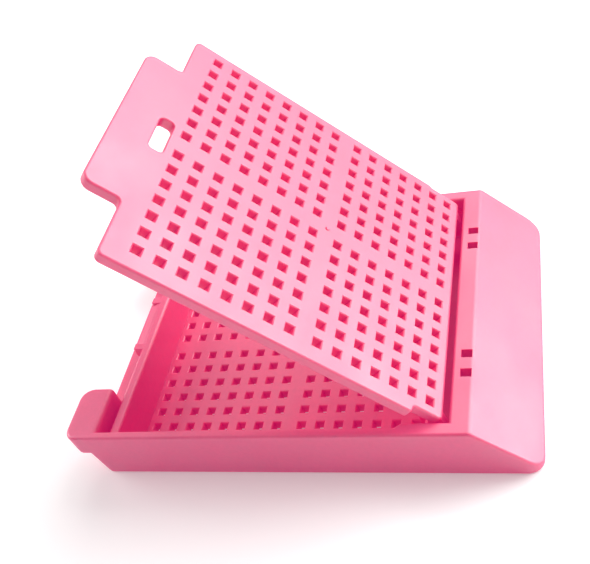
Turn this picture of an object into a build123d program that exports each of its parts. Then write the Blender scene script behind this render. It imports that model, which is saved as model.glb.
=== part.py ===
from build123d import *
import os

# Histology tissue cassette (biopsy style): a shallow drained tray with a 45 degree writing
# face at one end, and a perforated lid that swings on two side trunnions near that end.
# Both pieces are single acetal mouldings.
#
# Frame: X along the length, +X towards the writing face; Y across; Z up.
# Origin: centre of the tray's footprint, on the bottom face. Millimetres.

# ---- driving dimensions -------------------------------------------------------------
L = 41.0              # tray length
W = 28.8              # tray width at the rim
H = 5.8               # rim height above the bottom face
floor_t = 0.85        # tray floor
pitch = 1.725         # hole pitch, both ways
gap_k = 0.375         # extra pitch left between the two banks of holes, both ways
hole = 0.74           # square hole side at the upper face
hole_low = 0.42       # and at the lower face
hole_lead = 0.08      # softened lip of each hole
n_cols = (8, 7)       # columns either side of the bank gap, along X
n_rows = (7, 7)       # rows either side of the bank gap, along Y

x_col0 = -14.75       # first hole column (free end)

# tray walls
draft = 2.0           # degrees, chamber walls
side_in = 13.56       # half width of the chamber at the floor
x_front_in = -15.62   # chamber face of the front wall at the floor
x_front_out = -16.8   # outer face of the front wall
z_front = 4.84        # top of the front wall (the lid rests just above it)
x_shelf = 13.62       # face of the shelf, at the rim
x_ridge = 15.3        # ridge where the 45 degree face starts
x_end = L / 2
z_lip = H - (x_end - x_ridge)   # height of the small vertical lip under the writing face
half_low = 14.25      # half width at the bottom face (outer draft)
r_end = 1.35          # plan radius of the writing-face corners
r_ear_out = 1.1       # plan radius of the tray's outer front corners
r_ear_in = 1.3        # plan radius of the ears' inner corners
r_rim = 0.28          # softened outer rim
r_foot = 0.22         # softened bottom edge

# ears and front sill
x_ear = -L / 2
x_ear_back = -17.36   # rear face of each ear, in front of a narrow slot
y_ear = 8.8           # inner end of each ear
y_slot = 13.76        # outer end of the slot behind each ear, and of the lowered front wall
z_ear = 3.45          # underside of the ear's overhang
x_low = (-19.1, -19.55)   # front face of the lower body, at the bottom and under the ears
z_sill = 2.33         # top of the sill between the ears
ear_round = 0.45      # rounding of the ears' rear top edge

# latch on the front wall
rib_y = 3.05
rib_w = 0.7
rib_l = 0.83
catch_l = 0.75        # how far the catch stands out
catch_z = (4.46, 3.85, 3.3)   # outer edge of its sloped top, foot of its face, root below
r_wall = (0.4, 0.26)  # rounded top edges of the front wall, outer and inner

# hinge end
block_in = 13.12      # inner face of the thick hinge blocks
x_block = (9.05, 9.85)    # ramp from the thin wall to the thick block
x_inner = (10.75, 11.5)   # inner rear wall of the chamber
inner_half = 10.9
pivot_x = 12.35
pivot_z = 3.7
trunnion_r = 0.55
bore_r = 0.61
trunnion_reach = 13.48    # tip of each trunnion from the lid's own middle
bore_end = 13.86
boss_in = 12.78       # face of the boss round each bore
boss_r = 1.15

# shelf core holes
core = (0.93, 0.86)
core_x = 14.73
core_y = (6.4, 8.38)

# lid, as it lies closed
lid_t = 0.95
lid_top = H
lid_sides = (-13.33, 12.88)   # long edges, measured from the middle of the hole grid
lid_narrow = (-12.7, 12.7)    # between the hinge blocks
x_shoulder = -17.08
x_notch = (8.6, 7.9)  # near side, far side
x_nose = 11.5
nose_crown = 0.04
tab_half = 7.98
x_tab = -20.15
slot = (-17.07, -15.85)
slot_half = 1.82
lid_edge = 0.22       # rounding of the lid's top edges
nose_edge = 0.42      # rounding of its hinge end
lid_under = 0.15      # rounding of the lid's bottom edges
ear_t = 0.9
ear_out = 12.3        # outer face of each hinge ear
side_play = -0.33     # the lid lies this far off centre, within its play between the blocks
open_deg = 46.4


def box(x0, x1, y0, y1, z0, z1):
    y0, y1 = min(y0, y1), max(y0, y1)
    return Pos((x0 + x1) / 2, (y0 + y1) / 2, (z0 + z1) / 2) * Box(x1 - x0, y1 - y0, z1 - z0)


def near(a, b, tol=0.02):
    return abs(a - b) < tol


def soften(part, test, radii, label):
    """Fillets the edges that pass the test with the first radius that works."""
    es = part.edges().filter_by(test)
    if not es:
        print("no edges:", label)
        return part
    for r in radii:
        try:
            p = fillet(es, r)
            if p.is_valid and len(p.solids()) == 1:
                if r != radii[0]:
                    print(label, "took radius", r)
                return p
        except Exception:
            pass
    print("left sharp:", label, len(es))
    return part


def positions():
    span_y = (sum(n_rows) - 1 + gap_k) * pitch
    xs = [x_col0 + (i + (gap_k if i >= n_cols[0] else 0)) * pitch for i in range(sum(n_cols))]
    ys = [-span_y / 2 + (j + (gap_k if j >= n_rows[0] else 0)) * pitch for j in range(sum(n_rows))]
    return xs, ys


def hole_pins(z0, z1):
    """Square pins for every hole of a plate lying from z0 to z1, flared at both faces."""
    xs, ys = positions()
    c = hole_lead
    def level(z, w):
        return Pos(0, 0, z) * Rectangle(w, w)
    one = loft([level(z1 + c, hole + 4 * c), level(z1 - c, hole)], ruled=True)
    one += loft([level(z1 - c, hole), level(z0 + c, hole_low)], ruled=True)
    one += loft([level(z0 + c, hole_low), level(z0 - c, hole_low + 4 * c)], ruled=True)
    one = one.solid()
    return [Pos(x, y) * one for x in xs for y in ys]


# ---- tray ---------------------------------------------------------------------------
def make_base():
    # outer form: lower body, then the full outline from the underside of the ears up
    low = box(x_low[1], x_end, -W / 2, W / 2, 0, z_ear)
    top = box(x_ear, x_end, -W / 2, W / 2, z_ear, H)
    front = Polygon((x_low[0], 0), (x_low[1], z_ear), (x_low[1] - 1, z_ear), (x_low[1] - 1, 0), align=None)
    low -= extrude(Plane.XZ * front, W, both=True)
    for s in (1, -1):
        side = Polygon((s * W / 2, H), (s * half_low, 0), (s * (W / 2 + 1), 0), (s * (W / 2 + 1), H), align=None)
        side = extrude(Plane.YZ * side, L, both=True)
        low -= side
        top -= side
    up = lambda e: e.bounding_box().size.Z > 1
    for r, test in ((r_ear_out, lambda e: up(e) and e.center().X < 0), (r_end, lambda e: up(e) and e.center().X > 0)):
        low = fillet(low.edges().filter_by(test), r)
        top = fillet(top.edges().filter_by(test), r)
    low = soften(low, lambda e: near(e.center().Z, 0, 0.001), (r_foot, 0.15), "foot")
    # recess between the ears, down to the sill
    recess = Pos(x_ear - 2, 0) * Rectangle(2 * (x_front_out - x_ear + 2), 2 * y_ear)
    top -= extrude(Pos(0, 0, z_ear - 1) * recess, H)
    low -= extrude(Pos(0, 0, z_sill) * recess, H)
    top = fillet(top.edges().filter_by(lambda e: near(e.center().X, x_ear, 0.1) and near(abs(e.center().Y), y_ear, 0.1) and e.bounding_box().size.Z > 1), r_ear_in)
    low = fillet(low.edges().filter_by(lambda e: e.center().X < -18 and near(abs(e.center().Y), y_ear, 0.1) and e.bounding_box().size.Z > 1), r_ear_in)

    # 45 degree writing face
    wedge = Polygon((x_ridge, H), (x_end + 5, H - (x_end + 5 - x_ridge)), (x_end + 5, H + 1), (x_ridge, H + 1), align=None)
    wedge = extrude(Plane.XZ * wedge, W, both=True)
    top -= wedge
    low -= wedge

    # rounded rear top edge of each ear, then the narrow slot behind it
    for s in (1, -1):
        r = ear_round
        cut = box(x_ear_back - r, x_ear_back + 0.01, s * (y_ear - 0.5), s * y_slot, H - r, H + 0.5)
        cut -= Pos(x_ear_back - r, s * (y_ear + y_slot - 0.5) / 2, H - r) * Rot(90, 0, 0) * Cylinder(r, 20)
        top -= cut
    body = top + low
    slots = [box(x_ear_back, x_front_out, s * (y_ear - 0.1), s * y_slot, z_sill, H + 1) for s in (1, -1)]
    body -= slots

    # softened outer edges of the rim, the ears and the writing face
    def upper(e):
        c, b = e.center(), e.bounding_box()
        if c.Z < z_lip - 0.05:
            return False
        flat = near(c.Z, H, 0.001) and b.size.Z < 0.001
        if flat and (abs(c.Y) > W / 2 - 1.6 and c.X < x_ridge and b.size.X > 5 and near(abs(c.Y), W / 2, 0.01)):
            return True
        if flat and c.X < x_ear_back - ear_round and (near(c.X, x_ear, 1.6) or b.size.X > 0.3):
            return True
        if c.X > x_ridge - 0.01 and b.max.X > x_ridge + 0.1 and b.size.Z > 0.001:
            return abs(c.Y) > 5
        return c.X > x_ridge and near(c.Z, z_lip, 0.001)
    body = soften(body, lambda e: near(e.center().X, x_ridge, 0.01) and e.bounding_box().size.Y > 20 and near(e.center().Z, H, 0.01), (0.6, 0.4, 0.2), "ridge")
    body = soften(body, upper, (r_rim, 0.2, 0.12), "rim")

    # chamber
    hx0, hx1 = x_front_in, x_shelf - 0.17
    ch = Pos((hx0 + hx1) / 2, 0, floor_t) * Rectangle(hx1 - hx0, 2 * side_in)
    ch = fillet(ch.vertices(), 0.3)
    body -= extrude(ch, H - floor_t, taper=-draft)
    # front wall lowered to take the lid
    body -= box(x_front_out - 0.01, x_front_in + 0.4, -y_slot, y_slot, z_front, H + 1)
    x_in = x_front_in - (z_front - floor_t) * 0.0349
    for x, sx, r in ((x_front_out, 1, r_wall[0]), (x_in, -1, r_wall[1])):
        a, b = sorted((x - sx * 0.01, x + sx * r))
        cut = box(a, b, -13.3, 13.3, z_front - r, z_front + 0.01)
        body -= cut - Pos(x + sx * r, 0, z_front - r) * Rot(90, 0, 0) * Cylinder(r, 40)

    # thick hinge blocks with a short ramp
    for s in (1, -1):
        blk = Polygon((x_block[0], s * 13.8), (x_block[1], s * block_in), (x_shelf + 0.4, s * block_in), (x_shelf + 0.4, s * 13.9), (x_block[0], s * 13.9), align=None)
        body += extrude(Pos(0, 0, 0.4) * blk, H - 0.4, dir=(0, 0, 1))

    def inner(e):
        c, b = e.center(), e.bounding_box()
        if not near(c.Z, H, 0.001) or b.size.Z > 0.001:
            return False
        return (near(c.X, x_shelf, 0.1) and b.size.Y > 20) or (x_block[0] - 0.2 < c.X < x_shelf and near(abs(c.Y), block_in, 0.6) and b.size.X > 0.3)
    body = soften(body, inner, (0.26, 0.2, 0.15), "shelf edge")
    # inner rear wall: the closed lid's end meets it
    body += box(x_inner[0], x_inner[1], -inner_half, inner_half, 0.4, z_front - 0.02)

    # a low boss round each trunnion bore
    at_min = (Align.CENTER, Align.CENTER, Align.MIN)
    for s in (1, -1):
        body += Pos(pivot_x, s * boss_in, pivot_z) * Rot(-90 * s, 0, 0) * Cylinder(boss_r, 13.6 - boss_in, align=at_min)
        body -= Pos(pivot_x, s * (boss_in - 0.1), pivot_z) * Rot(-90 * s, 0, 0) * Cylinder(bore_r, bore_end - boss_in + 0.1, align=at_min)

    # hollow under the shelf and the writing face
    t = 1.1 * 2 ** 0.5
    hp = Polygon((14.24, -1), (14.24, H - 1.0), (x_ridge + 1.0 - t, H - 1.0), (x_ridge + H + 1 - t, -1), align=None)
    body -= extrude(Plane.XZ * hp, 13.1, both=True)

    # core holes through the shelf
    for s in (1, -1):
        for y in core_y:
            body -= box(core_x - core[0] / 2, core_x + core[0] / 2, s * y - core[1] / 2, s * y + core[1] / 2, H - 1.5, H + 1)

    # catch and two end ribs on the front wall's outer face
    xo = x_front_out
    cp = Polygon((xo + 0.2, z_front - 0.05), (xo, z_front - 0.09), (xo - catch_l, catch_z[0]), (xo - catch_l, catch_z[1]), (xo, catch_z[2]), (xo + 0.2, catch_z[2]), align=None)
    body += extrude(Plane.XZ * cp, rib_y, both=True)
    for s in (1, -1):
        rib = box(x_front_out - rib_l, x_front_out + 0.35, s * rib_y - rib_w / 2, s * rib_y + rib_w / 2, z_sill - 0.2, z_front)
        rib = fillet(rib.edges().filter_by(lambda e: near(e.center().X, x_front_out - rib_l) and e.center().Z > z_sill), 0.15)
        body += rib

    # drain holes
    body -= hole_pins(0, floor_t)
    return body


# ---- lid (closed pose, centred) -------------------------------------------------------
def make_lid():
    zb = lid_top - lid_t
    lo, hi = lid_sides
    nlo, nhi = lid_narrow
    low_side = [(x_tab, -tab_half), (x_shoulder, -tab_half), (x_shoulder, lo), (x_notch[0], lo), (x_notch[0], nlo), (x_nose - nose_crown, nlo)]
    high_side = [(x_nose - nose_crown, nhi), (x_notch[1] + 0.3, nhi), (x_notch[1], hi), (x_shoulder, hi), (x_shoulder, tab_half), (x_tab, tab_half), (x_tab, -tab_half)]
    end = ThreePointArc(low_side[-1], (x_nose, 0), high_side[0])
    face = make_face(Curve() + [Polyline(*low_side), end, Polyline(*high_side)])
    at = lambda p, q: near(p.X, q[0], 0.03) and near(p.Y, q[1], 0.03)
    for q, r in ([(q, 0.9) for q in (low_side[0], high_side[-2])] + [(q, 0.45) for q in (low_side[1], high_side[-3])]
                 + [(q, 0.5) for q in (low_side[2], high_side[-4])] + [(low_side[3], 0.34), (low_side[4], 0.24)]
                 + [(q, 0.55) for q in (low_side[5], high_side[0])]):
        face = fillet(face.vertices().filter_by(lambda p: at(p, q)), r)
    plate = extrude(Pos(0, 0, zb) * face, lid_t)

    # softened outer edges
    plate = soften(plate, lambda e: near(e.center().Z, lid_top, 0.001), (lid_edge, 0.19, 0.15), "lid top")
    plate = soften(plate, lambda e: near(e.center().Z, zb, 0.001), (lid_under, 0.1), "lid under")
    cut = box(x_nose - nose_edge, x_nose + 0.2, -14, 14, lid_top - nose_edge, lid_top + 0.2)
    plate -= cut - Pos(x_nose - nose_edge, 0, lid_top - nose_edge) * Rot(90, 0, 0) * Cylinder(nose_edge, 40)

    # latch slot
    sl = Pos((slot[0] + slot[1]) / 2, 0, zb - 1) * Rectangle(slot[1] - slot[0], 2 * slot_half)
    sl = fillet(sl.vertices(), 0.4)
    plate -= extrude(sl, lid_t + 2)
    plate = soften(plate, lambda e: near(e.center().Z, lid_top, 0.001) and near(e.center().X, (slot[0] + slot[1]) / 2, 0.7) and abs(e.center().Y) < 2, (0.15, 0.1), "slot lip")
    plate -= hole_pins(zb, lid_top)

    # latch tongue under the slot's outer edge: it passes down outside the catch
    x_tg = x_front_out - catch_l - 0.15
    tg = box(x_tg - 0.55, x_tg, -1.6, 1.6, zb - 1.3, zb + 0.2)
    tg = chamfer(tg.edges().filter_by(lambda e: near(e.center().Z, zb - 1.3) and e.bounding_box().size.Y > 1), 0.2)
    plate += tg

    # gate vestige at the crossing of the two bank gaps
    xs, ys = positions()
    gx = (xs[n_cols[0] - 1] + xs[n_cols[0]]) / 2
    plate += Pos(gx, 0, lid_top - 0.1) * Cone(0.27, 0.15, 0.2, align=(Align.CENTER, Align.CENTER, Align.MIN))

    # hinge ears and trunnions
    for s in (1, -1):
        pts = [(pivot_x, pivot_z, 0.95), (x_nose - 0.6, zb + 0.5, 0.34)]
        prof = make_hull(sum(((Pos(a, b) * Circle(r)).edges() for a, b, r in pts), ShapeList()))
        y0 = ear_out if s > 0 else -ear_out + ear_t
        plate += extrude(Plane((0, y0, 0), x_dir=(1, 0, 0), z_dir=(0, -1, 0)) * prof, ear_t)
        pin = Pos(pivot_x, s * (ear_out - 0.3), pivot_z) * Rot(-90 * s, 0, 0) * Cylinder(trunnion_r, trunnion_reach - ear_out + 0.3, align=(Align.CENTER, Align.CENTER, Align.MIN))
        pin = chamfer(pin.edges().filter_by(lambda e: near(abs(e.center().Y), trunnion_reach)), 0.18)
        plate += pin
    return plate


base = make_base()
lid = Pos(0, side_play, 0) * make_lid()
lid = lid.rotate(Axis((pivot_x, 0, pivot_z), (0, 1, 0)), open_deg)

os.makedirs("parts", exist_ok=True)
for name, shape in (("base", base), ("lid", lid)):
    solids = shape.solids()
    print(name, "solids", len(solids), "volume %.2f mm3" % shape.volume, "valid", shape.is_valid)
    export_step(solids[0] if len(solids) == 1 else shape, "parts/%s.step" % name)
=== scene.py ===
import math

import bpy
from mathutils import Matrix, Vector

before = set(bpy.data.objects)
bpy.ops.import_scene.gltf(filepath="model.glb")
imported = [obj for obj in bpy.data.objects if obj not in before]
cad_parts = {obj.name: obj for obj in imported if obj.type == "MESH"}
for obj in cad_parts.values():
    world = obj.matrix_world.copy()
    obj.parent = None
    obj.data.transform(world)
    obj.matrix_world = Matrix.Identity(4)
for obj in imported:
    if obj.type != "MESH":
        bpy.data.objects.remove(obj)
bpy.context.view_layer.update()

scene = bpy.context.scene
scene.view_settings.view_transform = "Standard"
scene.view_settings.look = "None"
scene.view_settings.exposure = 0.0
scene.view_settings.gamma = 1.0


# ---------------------------------------------------------------- materials
def nodes_of(mat):
    mat.use_nodes = True
    nt = mat.node_tree
    nt.nodes.clear()
    return nt


def add(nt, kind, x=0, y=0, **values):
    n = nt.nodes.new(kind)
    n.location = (x, y)
    for k, v in values.items():
        if k.startswith("_"):
            setattr(n, k[1:], v)
        else:
            n.inputs[k.replace("__", " ")].default_value = v
    return n


def noise(nt, vec, scale, detail, rough, x, y, offset=(0, 0, 0), stretch=(1, 1, 1)):
    m = add(nt, "ShaderNodeMapping", x, y)
    m.inputs["Location"].default_value = offset
    m.inputs["Scale"].default_value = stretch
    n = add(nt, "ShaderNodeTexNoise", x + 180, y)
    n.inputs["Scale"].default_value = scale
    n.inputs["Detail"].default_value = detail
    n.inputs["Roughness"].default_value = rough
    nt.links.new(vec, m.inputs["Vector"])
    nt.links.new(m.outputs["Vector"], n.inputs["Vector"])
    return n.outputs["Fac"]


def ramp(nt, fac, stops, x, y):
    r = add(nt, "ShaderNodeValToRGB", x, y)
    cr = r.color_ramp
    while len(cr.elements) < len(stops):
        cr.elements.new(0.5)
    for e, (p, c) in zip(cr.elements, stops):
        e.position = p
        e.color = (*c, 1.0)
    nt.links.new(fac, r.inputs["Fac"])
    return r.outputs["Color"]


def value_range(nt, fac, lo, hi, x, y, a=0.3, b=0.7):
    m = add(nt, "ShaderNodeMapRange", x, y)
    m.inputs["From Min"].default_value = a
    m.inputs["From Max"].default_value = b
    m.inputs["To Min"].default_value = lo
    m.inputs["To Max"].default_value = hi
    nt.links.new(fac, m.inputs["Value"])
    return m.outputs["Result"]


def moulded_pink(name, deep, mid, pale, offset, rough=(0.40, 0.54)):
    """Matt translucent acetal: faint flow clouding, a fine spark-eroded grain and a soft sheen."""
    mat = bpy.data.materials.new(name)
    nt = nodes_of(mat)
    out = add(nt, "ShaderNodeOutputMaterial", 900, 0)
    p = add(nt, "ShaderNodeBsdfPrincipled", 600, 0)
    nt.links.new(p.outputs["BSDF"], out.inputs["Surface"])
    tc = add(nt, "ShaderNodeTexCoord", -900, 0)
    vec = tc.outputs["Object"]
    cloud = noise(nt, vec, 260.0, 3.0, 0.55, -700, 300, offset, (1.0, 0.55, 1.0))
    col = ramp(nt, cloud, [(0.28, deep), (0.5, mid), (0.74, pale)], -250, 300)
    fine = noise(nt, vec, 2600.0, 4.0, 0.6, -700, 0, offset)
    speck = ramp(nt, fine, [(0.30, (0.93, 0.93, 0.93)), (0.70, (1.0, 1.0, 1.0))], -250, 60)
    mix = add(nt, "ShaderNodeMix", 60, 200, _data_type="RGBA", _blend_type="MULTIPLY")
    mix.inputs[0].default_value = 1.0
    nt.links.new(col, mix.inputs[6])
    nt.links.new(speck, mix.inputs[7])
    nt.links.new(mix.outputs[2], p.inputs["Base Color"])
    nt.links.new(value_range(nt, cloud, rough[0], rough[1], 60, -60), p.inputs["Roughness"])
    grain = noise(nt, vec, 5200.0, 5.0, 0.62, -700, -300, offset)
    wave = noise(nt, vec, 420.0, 2.0, 0.5, -700, -560, offset)
    b1 = add(nt, "ShaderNodeBump", 60, -300)
    b1.inputs["Strength"].default_value = 0.14
    b1.inputs["Distance"].default_value = 0.00003
    nt.links.new(grain, b1.inputs["Height"])
    b2 = add(nt, "ShaderNodeBump", 300, -300)
    b2.inputs["Strength"].default_value = 0.30
    b2.inputs["Distance"].default_value = 0.00006
    nt.links.new(wave, b2.inputs["Height"])
    nt.links.new(b1.outputs["Normal"], b2.inputs["Normal"])
    nt.links.new(b2.outputs["Normal"], p.inputs["Normal"])
    p.inputs["IOR"].default_value = 1.70
    p.inputs["Specular IOR Level"].default_value = 1.0
    # painted glow: a constant deep pink emission, not from any lamp, brightens the hollows and shaded faces
    # towards magenta
    p.inputs["Emission Color"].default_value = (1.0, 0.0, 0.56, 1.0)
    p.inputs["Emission Strength"].default_value = 0.10
    p.inputs["Subsurface Weight"].default_value = 0.85
    p.inputs["Subsurface Radius"].default_value = (1.0, 0.45, 0.60)
    p.inputs["Subsurface Scale"].default_value = 0.0006
    return mat


tray_mat = moulded_pink("tray_plastic_fine", (0.72, 0.049, 0.134), (0.75, 0.053, 0.144), (0.78, 0.060, 0.155), (0.3, 1.7, 0.9))
lid_mat = moulded_pink("lid_plastic_fine", (0.72, 0.054, 0.134), (0.75, 0.060, 0.144), (0.78, 0.067, 0.155), (2.1, 0.4, 3.3))

for node, mat in (("base", tray_mat), ("lid", lid_mat)):
    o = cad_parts[node]
    for s in o.material_slots:
        s.material = mat

# ---------------------------------------------------------------- floor
half = 2.0
fm = bpy.data.meshes.new("floor")
n = 40
verts, faces = [], []
for i in range(n + 1):
    for j in range(n + 1):
        verts.append((-half + 2 * half * i / n, -half + 2 * half * j / n, 0.0))
for i in range(n):
    for j in range(n):
        a = i * (n + 1) + j
        faces.append((a, a + n + 1, a + n + 2, a + 1))
fm.from_pydata(verts, [], faces)
floor = bpy.data.objects.new("floor", fm)
scene.collection.objects.link(floor)
fmat = bpy.data.materials.new("floor_white")
nt = nodes_of(fmat)
out = add(nt, "ShaderNodeOutputMaterial", 600, 0)
p = add(nt, "ShaderNodeBsdfPrincipled", 300, 0)
nt.links.new(p.outputs["BSDF"], out.inputs["Surface"])
tc = add(nt, "ShaderNodeTexCoord", -600, 0)
fac = noise(nt, tc.outputs["Object"], 30.0, 2.0, 0.5, -400, 0)
nt.links.new(ramp(nt, fac, [(0.3, (0.93, 0.93, 0.93)), (0.7, (0.95, 0.95, 0.95))], 0, 0), p.inputs["Base Color"])
p.inputs["Emission Color"].default_value = (1.0, 1.0, 1.0, 1.0)
p.inputs["Emission Strength"].default_value = 0.16
p.inputs["Roughness"].default_value = 0.9
p.inputs["Specular IOR Level"].default_value = 0.1
fm.materials.append(fmat)

# ---------------------------------------------------------------- light
world = bpy.data.worlds.new("studio")
scene.world = world
world.use_nodes = True
bg = world.node_tree.nodes["Background"]
bg.inputs["Color"].default_value = (1.0, 0.985, 0.985, 1.0)
bg.inputs["Strength"].default_value = 0.32


def softbox(name, pos, aim, size, power, colour=(1, 1, 1)):
    d = bpy.data.lights.new(name, "AREA")
    d.shape = "RECTANGLE"
    d.size, d.size_y = size
    d.energy = power
    d.color = colour
    o = bpy.data.objects.new(name, d)
    scene.collection.objects.link(o)
    o.location = pos
    o.rotation_euler = (Vector(aim) - Vector(pos)).to_track_quat("-Z", "Y").to_euler()
    return o


softbox("back_right_box", (0.26, 0.20, 0.30), (0, 0, 0.01), (0.30, 0.30), 1.58)
softbox("low_right_strip", (0.36, 0.12, 0.09), (0, 0, 0.01), (0.30, 0.14), 0.92)
softbox("back_box", (0.015, 0.27, 0.28), (0, 0, 0.01), (0.30, 0.22), 0.58)
softbox("left_box", (-0.34, 0.03, 0.20), (0, 0, 0.01), (0.27, 0.24), 0.82)

# ---------------------------------------------------------------- camera
cam = bpy.data.cameras.new("camera")
cam.sensor_width = 36.0
cam.sensor_fit = "HORIZONTAL"
cam.lens = 48.1774
cam.shift_x = -0.03023
cam.shift_y = 0.09831
cam.clip_start = 0.001
cam.clip_end = 10.0
cam.dof.use_dof = False
camo = bpy.data.objects.new("camera", cam)
scene.collection.objects.link(camo)
rot = Matrix(((0.951539, 0.045926, 0.304080), (0.163028, 0.763081, -0.625403), (-0.260759, 0.644669, 0.718614)))
camo.matrix_world = Matrix.Translation((0.022418, -0.047893, 0.056053)) @ rot.to_4x4()
scene.camera = camo
